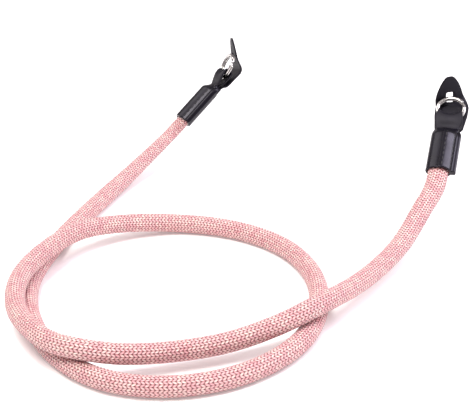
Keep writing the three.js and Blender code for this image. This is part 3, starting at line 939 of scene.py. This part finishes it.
def braided_yarn():
    material, tree, shader = new_material("braided_cotton_yarn")
    weave = node(tree, "ShaderNodeUVMap", {"uv_map": "weave"}).outputs[0]
    split = node(tree, "ShaderNodeSeparateXYZ", Vector=weave).outputs
    rows, ovals = split[0], split[1]
    row = maths(tree, "FLOOR", rows)
    across = maths(tree, "SUBTRACT", maths(tree, "FRACT", rows), 0.5)
    odd = maths(tree, "MODULO", row, 2.0)
    hand = maths(tree, "SUBTRACT", maths(tree, "MULTIPLY", odd, 2.0), 1.0)
    slant = maths(tree, "MULTIPLY", maths(tree, "MULTIPLY", across, hand), OVAL_SLANT)
    shifted = maths(tree, "ADD", ovals, slant)
    oval = maths(tree, "FLOOR", shifted)
    local = maths(tree, "MULTIPLY", maths(tree, "SUBTRACT", maths(tree, "FRACT", shifted), 0.5), 2.0)
    edge = maths(tree, "MULTIPLY", across, 2.0)
    fall_along = maths(tree, "MULTIPLY", maths(tree, "MULTIPLY", local, local), OVAL_FALL_ALONG)
    fall_across = maths(tree, "MULTIPLY", maths(tree, "MULTIPLY", edge, edge), OVAL_FALL_ACROSS)
    left = maths(tree, "SUBTRACT", 1.0, maths(tree, "ADD", fall_along, fall_across))
    height = maths(tree, "POWER", maths(tree, "MAXIMUM", left, 0.0), OVAL_TOP)

    strand = node(tree, "ShaderNodeCombineXYZ", X=row, Y=oval, Z=0.0).outputs[0]
    chance = node(tree, "ShaderNodeTexWhiteNoise", {"noise_dimensions": "3D"}, Vector=strand).outputs["Value"]
    place_of = node(tree, "ShaderNodeTexCoord").outputs["Object"]
    drift = node(tree, "ShaderNodeTexNoise", Vector=place_of, Scale=150.0, Detail=2.0).outputs[0]
    tone = maths(tree, "ADD", maths(tree, "MULTIPLY", chance, 0.6), maths(tree, "MULTIPLY", drift, 0.4))
    yarn = ramp(tree, tone, [(0.15, "#e1acb0"), (0.4, "#ebc0c1"), (0.65, "#f1d1cd"), (0.9, "#f7e3da")])
    # Painted shade: the yarn's colour is darkened by the oval's height, towards each oval's edges and most in
    # the low corners between ovals.
    painted_shade = ramp(tree, height, [(0.0, "#745557"), (0.35, "#c0979a"), (0.65, "#efd8d9"), (0.9, "#ffffff")])
    colour = node(tree, "ShaderNodeMix", {"data_type": "RGBA", "blend_type": "MULTIPLY"}, Factor=1.0)
    tree.links.new(yarn, colour.inputs[6])
    tree.links.new(painted_shade, colour.inputs[7])
    tree.links.new(colour.outputs[2], shader.inputs["Base Color"])

    fibre_at = node(tree, "ShaderNodeCombineXYZ", X=maths(tree, "MULTIPLY", rows, 3.0),
                    Y=maths(tree, "MULTIPLY", shifted, 9.0), Z=0.0).outputs[0]
    fibre = node(tree, "ShaderNodeTexNoise", Vector=fibre_at, Scale=1.0, Detail=2.0).outputs[0]
    relief = maths(tree, "ADD", height, maths(tree, "MULTIPLY", fibre, 0.12))
    bump = node(tree, "ShaderNodeBump", Strength=1.0, Distance=0.4 * MM, Height=relief)
    tree.links.new(bump.outputs[0], shader.inputs["Normal"])
    shader.inputs["Roughness"].default_value = 0.45
    shader.inputs["Subsurface Weight"].default_value = 0.15
    shader.inputs["Subsurface Radius"].default_value = (1.0, 0.35, 0.3)
    shader.inputs["Subsurface Scale"].default_value = 1.2 * MM
    return material


rope.data.materials.append(braided_yarn())

# %% [markdown]
# ### The leather
#
# The leather is smooth calf, dyed a black with a little violet in it. The sleeves are
# finished with wax, so they mirror the light in long stripes and are nearly black
# elsewhere. The tabs and the shields are left plain, and look a duller slate. The grain is
# fine pores, about half a millimetre apart, with soft creases a few millimetres long and a
# slightly uneven polish.

# %% Leather
PORE_PITCH = 0.55 * MM
CREASE_LENGTH = 4 * MM
POLISH_PATCH = 9 * MM


def dyed_leather(name, smoothest, roughest):
    material, tree, shader = new_material(name)
    here = node(tree, "ShaderNodeTexCoord").outputs["Object"]
    pores = node(tree, "ShaderNodeTexVoronoi", {"feature": "F1"}, Vector=here,
                 Scale=1 / PORE_PITCH).outputs["Distance"]
    creases = node(tree, "ShaderNodeTexNoise", Vector=here, Scale=1 / CREASE_LENGTH,
                   Detail=4.0, Roughness=0.6).outputs[0]
    polish = node(tree, "ShaderNodeTexNoise", Vector=here, Scale=1 / POLISH_PATCH, Detail=2.0).outputs[0]
    colour = ramp(tree, creases, [(0.3, "#06050b"), (0.7, "#0f0d17")])
    tree.links.new(colour, shader.inputs["Base Color"])
    relief = maths(tree, "ADD", maths(tree, "MULTIPLY", pores, 0.35), creases)
    bump = node(tree, "ShaderNodeBump", Strength=0.22, Distance=0.12 * MM, Height=relief)
    tree.links.new(bump.outputs[0], shader.inputs["Normal"])
    gloss = node(tree, "ShaderNodeMapRange", Value=polish, From_Min=0.3, From_Max=0.7,
                 To_Min=smoothest, To_Max=roughest)
    tree.links.new(gloss.outputs[0], shader.inputs["Roughness"])
    shader.inputs["Specular IOR Level"].default_value = 0.3
    shader.inputs["Specular Tint"].default_value = (0.92, 0.88, 1, 1)
    return material


# %% [markdown]
# ### The rings and the thread
#
# The rings are spring steel wire with a bright nickel plate. It is nearly a mirror, and its
# polish and tone are a little uneven from one millimetre to the next. The thread is black
# polyester, twisted and waxed, with a dull shine and fine plies.

# %% Steel and thread
def plated_steel():
    material, tree, shader = new_material("nickel_plated_steel")
    here = node(tree, "ShaderNodeTexCoord").outputs["Object"]
    wear = node(tree, "ShaderNodeTexNoise", Vector=here, Scale=1 / (1.5 * MM), Detail=3.0).outputs[0]
    gloss = node(tree, "ShaderNodeMapRange", Value=wear, From_Min=0.3, From_Max=0.7, To_Min=0.1, To_Max=0.22)
    tree.links.new(gloss.outputs[0], shader.inputs["Roughness"])
    colour = ramp(tree, wear, [(0.2, "#cfcdca"), (0.8, "#e6e4e1")])
    tree.links.new(colour, shader.inputs["Base Color"])
    shader.inputs["Metallic"].default_value = 1.0
    return material


def waxed_thread():
    material, tree, shader = new_material("waxed_polyester_thread")
    here = node(tree, "ShaderNodeTexCoord").outputs["Object"]
    plies = node(tree, "ShaderNodeTexNoise", Vector=here, Scale=1 / (0.3 * MM), Detail=1.0).outputs[0]
    tree.links.new(ramp(tree, plies, [(0.3, "#0b0a0d"), (0.7, "#1c1a20")]), shader.inputs["Base Color"])
    bump = node(tree, "ShaderNodeBump", Strength=0.4, Distance=0.1 * MM, Height=plies)
    tree.links.new(bump.outputs[0], shader.inputs["Normal"])
    shader.inputs["Roughness"].default_value = 0.55
    return material


waxed = dyed_leather("waxed_calf_leather", 0.24, 0.36)
plain = dyed_leather("plain_calf_leather", 0.5, 0.62)
steel, thread = plated_steel(), waxed_thread()
for pieces, material in ((sleeves, waxed), (strips, plain), (rings, steel), (stitches, thread)):
    for piece in pieces:
        piece.data.materials.append(material)
print("finishes:", [material.name for material in (waxed, plain, steel, thread)])

# %% [markdown]
# ### The table
#
# The table is a sheet of opal acrylic, lit faintly from below, which lifts the shadows
# and throws a little light under the rope.

# %% Lit table
def pale_table():
    material, _, shader = new_material("opal_acrylic_sheet")
    shader.inputs["Base Color"].default_value = linear("#f4f4f4")
    shader.inputs["Roughness"].default_value = 0.7
    shader.inputs["Emission Color"].default_value = linear("#ffffff")
    shader.inputs["Emission Strength"].default_value = 0.18
    return material


table_top.data.materials.append(pale_table())
